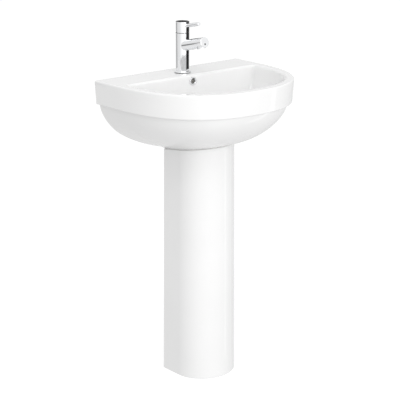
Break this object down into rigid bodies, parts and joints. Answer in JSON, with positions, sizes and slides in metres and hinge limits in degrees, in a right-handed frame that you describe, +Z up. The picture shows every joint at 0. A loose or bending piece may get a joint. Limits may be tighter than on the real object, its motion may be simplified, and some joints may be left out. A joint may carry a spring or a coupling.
{
  "type": "pedestal sink",
  "caption": "D-shaped ceramic wash basin on an open-backed pedestal, with a single-lever tap, a push-plug waste and a bottle trap.",
  "frame": {"origin": "on the floor, under the middle of the object's bounding box", "axes": "+Z up, -Y to the user in front of the basin, +Y into the wall, X from side to side"},
  "size_m": [0.51, 0.385, 0.998],
  "materials": {
    "ceramic": "white gloss glaze",
    "chrome": "polished chrome plate",
    "rubber": "matt black rubber",
    "index": "dark gloss plastic",
    "aerator": "grey moulded plastic",
    "cartridge": "ivory moulded plastic",
    "brass": "turned brass",
    "steel": "bright steel",
    "copper": "drawn copper tube",
    "trap_plastic": "white moulded polypropylene"
  },
  "bodies": {
    "root": {"basin": "ceramic", "pedestal": "ceramic", "tap_body": "chrome", "tap_base_ring": "chrome", "aerator_housing": "chrome", "overflow_ring": "chrome", "waste_body": "chrome", "joint_gasket": "rubber", "tap_base_seal": "rubber", "horseshoe_rubber": "rubber", "waste_seal_upper": "rubber", "waste_seal_lower": "rubber", "trap_inlet_washer": "rubber", "trap_cup_seal": "rubber", "trap_outlet_washer": "rubber", "spout_index": "index", "aerator_insert": "aerator", "cartridge": "cartridge", "click_cartridge": "cartridge", "cartridge_nut": "brass", "fixing_stud": "brass", "stud_nut": "brass", "horseshoe_plate": "steel", "waste_backnut": "steel", "supply_tail_hot": "copper", "supply_tail_cold": "copper", "trap_inlet_nut": "trap_plastic", "trap_body": "trap_plastic", "trap_cup": "trap_plastic", "trap_outlet_nut": "trap_plastic", "waste_pipe": "trap_plastic"},
    "swivel": {"swivel_carrier": "cartridge", "lever_pivot_pin": "steel"},
    "handle": {"lever_stem": "steel", "handle_cap": "chrome", "lever_pin": "chrome", "handle_grub_screw": "steel"},
    "plug": {"plug_rod": "steel", "waste_plug": "chrome", "plug_seal": "rubber"}
  },
  "joints": [
    {"name": "handle_turn", "type": "hinge", "parent": "root", "child": "swivel", "pos_m": [0, 0.1285, 0.9617], "axis": [0, 0, 1], "range_deg": [-45, 45]},
    {"name": "handle_lift", "type": "hinge", "parent": "swivel", "child": "handle", "pos_m": [0, 0.1285, 0.9617], "axis": [-1, 0, 0], "range_deg": [0, 16]},
    {"name": "plug_slide", "type": "slide", "parent": "root", "child": "plug", "axis": [0, 0, 1], "range_m": [0, 0.008]}
  ]
}
